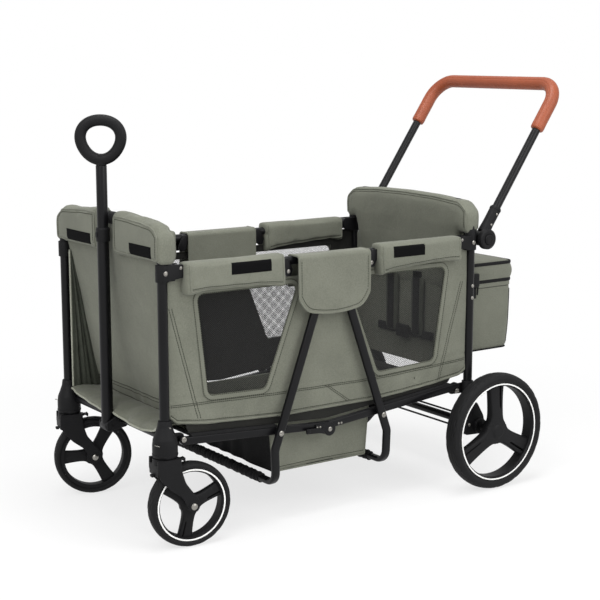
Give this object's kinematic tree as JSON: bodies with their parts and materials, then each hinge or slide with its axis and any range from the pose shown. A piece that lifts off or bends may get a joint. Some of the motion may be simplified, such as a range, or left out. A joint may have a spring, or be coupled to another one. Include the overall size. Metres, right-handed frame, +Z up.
{
  "type": "folding stroller wagon",
  "caption": "Folding stroller wagon for daycare use: cloth cabin with net windows and a footwell on a folding tube frame, casters, a pull handle, a tilting push handle and a lidded bag.",
  "frame": {"origin": "on the floor, below the middle of the overall length and width", "axes": "+Z up, +X to the rear where the push handle is, -X to the front with the casters and the pull handle, +Y to the right"},
  "size_m": [1.2326, 0.6678, 1.002],
  "materials": {
    "frame_black": "satin black powder coat",
    "moulded_black": "matte moulded nylon",
    "tyre_rubber": "matte rubber",
    "sage_canvas": "matte woven canvas",
    "dark_lining": "matte dark lining",
    "window_net": "open black net",
    "tan_leather": "stitched tan leather"
  },
  "bodies": {
    "rear_frame": {"rear_frame_tube": "frame_black", "rear_lower_housings": "moulded_black", "rear_axle": "frame_black", "rear_end_wall": "sage_canvas", "rear_end_pad": "sage_canvas", "rear_harness": "dark_lining", "storage_bag": "sage_canvas", "left_side_panel": "sage_canvas", "right_side_panel": "sage_canvas", "left_window_net": "window_net", "right_window_net": "window_net"},
    "rear_floor": {"rear_floor_frame": "frame_black", "rear_seat": "dark_lining"},
    "front_floor": {"front_floor_frame": "frame_black", "front_seat": "dark_lining"},
    "front_frame": {"front_frame_tube": "frame_black", "front_lower_housings": "moulded_black", "front_end_wall": "sage_canvas", "front_end_pad": "sage_canvas", "pull_hinge_bracket": "moulded_black"},
    "rear_top": {"left_rear_top_rail": "frame_black", "right_rear_top_rail": "frame_black", "left_rear_side_pad": "sage_canvas", "right_rear_side_pad": "sage_canvas"},
    "middle_top": {"left_middle_top_rail": "frame_black", "right_middle_top_rail": "frame_black", "left_middle_flap": "sage_canvas", "right_middle_flap": "sage_canvas"},
    "front_top": {"left_front_top_rail": "frame_black", "right_front_top_rail": "frame_black", "left_front_side_pad": "sage_canvas", "right_front_side_pad": "sage_canvas"},
    "front_legs": {"front_leg_frame": "frame_black"},
    "rear_legs": {"rear_leg_frame": "frame_black", "footwell": "sage_canvas"},
    "left_latch": {"left_fold_latch": "frame_black"},
    "right_latch": {"right_fold_latch": "frame_black"},
    "push_handle": {"push_handle_tube": "frame_black", "push_grip": "tan_leather", "left_push_hub": "moulded_black", "right_push_hub": "moulded_black"},
    "left_button": {"left_tilt_button": "moulded_black"},
    "right_button": {"right_tilt_button": "moulded_black"},
    "bag_lid": {"bag_lid": "sage_canvas"},
    "brake": {"brake_bar": "moulded_black"},
    "left_rear_wheel": {"left_rear_rim": "moulded_black", "left_rear_tyre": "tyre_rubber"},
    "right_rear_wheel": {"right_rear_rim": "moulded_black", "right_rear_tyre": "tyre_rubber"},
    "left_caster": {"left_fork": "moulded_black"},
    "right_caster": {"right_fork": "moulded_black"},
    "left_lock": {"left_caster_lock": "moulded_black"},
    "right_lock": {"right_caster_lock": "moulded_black"},
    "left_front_wheel": {"left_front_rim": "moulded_black", "left_front_tyre": "tyre_rubber"},
    "right_front_wheel": {"right_front_rim": "moulded_black", "right_front_tyre": "tyre_rubber"},
    "pull_handle": {"pull_outer_tube": "frame_black"},
    "pull_slider": {"pull_inner_tube": "frame_black"},
    "pull_ring": {"pull_ring": "moulded_black"}
  },
  "joints": [
    {"name": "fold", "type": "hinge", "parent": "rear_frame", "child": "rear_floor", "pos_m": [0.26777, 0, 0.241], "axis": [0, 1, 0], "range_deg": [0, 70], "deforming": ["left_side_panel", "right_side_panel", "left_window_net", "right_window_net", "footwell", "front_end_wall"]},
    {"name": "front_floor_fold", "type": "hinge", "parent": "rear_floor", "child": "front_floor", "pos_m": [-0.12023, 0, 0.205], "axis": [0, 1, 0], "range_deg": [-140, 0]},
    {"name": "front_frame_fold", "type": "hinge", "parent": "front_floor", "child": "front_frame", "pos_m": [-0.50823, 0, 0.241], "axis": [0, 1, 0], "range_deg": [0, 70]},
    {"name": "rear_top_fold", "type": "hinge", "parent": "rear_frame", "child": "rear_top", "pos_m": [0.27177, 0, 0.618], "axis": [0, 1, 0], "range_deg": [0, 86]},
    {"name": "middle_top_fold", "type": "hinge", "parent": "rear_top", "child": "middle_top", "pos_m": [-0.00373, 0, 0.585], "axis": [0, 1, 0], "range_deg": [-86, 0]},
    {"name": "front_top_fold", "type": "hinge", "parent": "front_frame", "child": "front_top", "pos_m": [-0.51223, 0, 0.618], "axis": [0, 1, 0], "range_deg": [-86, 0]},
    {"name": "front_leg_fold", "type": "hinge", "parent": "front_floor", "child": "front_legs", "pos_m": [-0.26623, 0, 0.2205], "axis": [0, 1, 0], "range_deg": [0, 57]},
    {"name": "rear_leg_fold", "type": "hinge", "parent": "rear_floor", "child": "rear_legs", "pos_m": [0.02577, 0, 0.2205], "axis": [0, 1, 0], "range_deg": [-57, 0]},
    {"name": "left_latch_lift", "type": "hinge", "parent": "front_floor", "child": "left_latch", "pos_m": [-0.18223, -0.242, 0.2095], "axis": [0, 1, 0], "range_deg": [-25, 0]},
    {"name": "right_latch_lift", "type": "hinge", "parent": "front_floor", "child": "right_latch", "pos_m": [-0.18223, 0.242, 0.2095], "axis": [0, 1, 0], "range_deg": [-25, 0]},
    {"name": "handle_tilt", "type": "hinge", "parent": "rear_frame", "child": "push_handle", "pos_m": [0.34377, 0, 0.614], "axis": [0, 1, 0], "range_deg": [-35, 95]},
    {"name": "left_button_press", "type": "slide", "parent": "push_handle", "child": "left_button", "axis": [0, 1, 0], "range_m": [0, 0.005], "stiffness_N_per_m": 400, "springref_m": -0.002},
    {"name": "right_button_press", "type": "slide", "parent": "push_handle", "child": "right_button", "axis": [0, -1, 0], "range_m": [0, 0.005], "stiffness_N_per_m": 400, "springref_m": -0.002},
    {"name": "lid_open", "type": "hinge", "parent": "rear_frame", "child": "bag_lid", "pos_m": [0.32007, 0, 0.549], "axis": [0, 1, 0], "range_deg": [-75, 0]},
    {"name": "brake_press", "type": "hinge", "parent": "rear_frame", "child": "brake", "pos_m": [0.32177, 0, 0.165], "axis": [0, 1, 0], "range_deg": [-20, 0]},
    {"name": "left_rear_roll", "type": "hinge", "parent": "rear_frame", "child": "left_rear_wheel", "pos_m": [0.33477, -0.309, 0.145], "axis": [0, 1, 0], "continuous": true},
    {"name": "right_rear_roll", "type": "hinge", "parent": "rear_frame", "child": "right_rear_wheel", "pos_m": [0.33477, 0.309, 0.145], "axis": [0, 1, 0], "continuous": true},
    {"name": "left_caster_swivel", "type": "hinge", "parent": "front_frame", "child": "left_caster", "pos_m": [-0.55023, -0.235, 0.2075], "axis": [0, 0, 1], "continuous": true},
    {"name": "left_front_roll", "type": "hinge", "parent": "left_caster", "child": "left_front_wheel", "pos_m": [-0.49557, -0.24113, 0.095], "axis": [0.1115, 0.9938, 0], "continuous": true},
    {"name": "left_lock_press", "type": "hinge", "parent": "left_caster", "child": "left_lock", "pos_m": [-0.51893, -0.23851, 0.199], "axis": [0.1115, 0.9938, 0], "range_deg": [0, 20]},
    {"name": "right_caster_swivel", "type": "hinge", "parent": "front_frame", "child": "right_caster", "pos_m": [-0.55023, 0.235, 0.2075], "axis": [0, 0, 1], "continuous": true},
    {"name": "right_front_roll", "type": "hinge", "parent": "right_caster", "child": "right_front_wheel", "pos_m": [-0.49698, 0.22123, 0.095], "axis": [0.2504, 0.9681, 0], "continuous": true},
    {"name": "right_lock_press", "type": "hinge", "parent": "right_caster", "child": "right_lock", "pos_m": [-0.51973, 0.22711, 0.199], "axis": [0.2504, 0.9681, 0], "range_deg": [0, 20]},
    {"name": "pull_lower", "type": "hinge", "parent": "front_frame", "child": "pull_handle", "pos_m": [-0.56723, 0, 0.229], "axis": [0, 1, 0], "range_deg": [-95, 0]},
    {"name": "pull_extend", "type": "slide", "parent": "pull_handle", "child": "pull_slider", "axis": [0, 0, 1], "range_m": [-0.1, 0.2]},
    {"name": "ring_twist", "type": "hinge", "parent": "pull_slider", "child": "pull_ring", "pos_m": [-0.56723, 0, 0.818], "axis": [0, 0, 1], "continuous": true}
  ],
  "couplings": [
    {"joint": "front_floor_fold", "follows": "fold", "ratio": -2},
    {"joint": "front_frame_fold", "follows": "fold", "ratio": 1},
    {"joint": "rear_top_fold", "follows": "fold", "ratio": 1.2225},
    {"joint": "middle_top_fold", "follows": "fold", "ratio": -1.2225},
    {"joint": "front_top_fold", "follows": "fold", "ratio": -1.2225},
    {"joint": "front_leg_fold", "follows": "fold", "ratio": 0.803},
    {"joint": "rear_leg_fold", "follows": "fold", "ratio": -0.803}
  ]
}
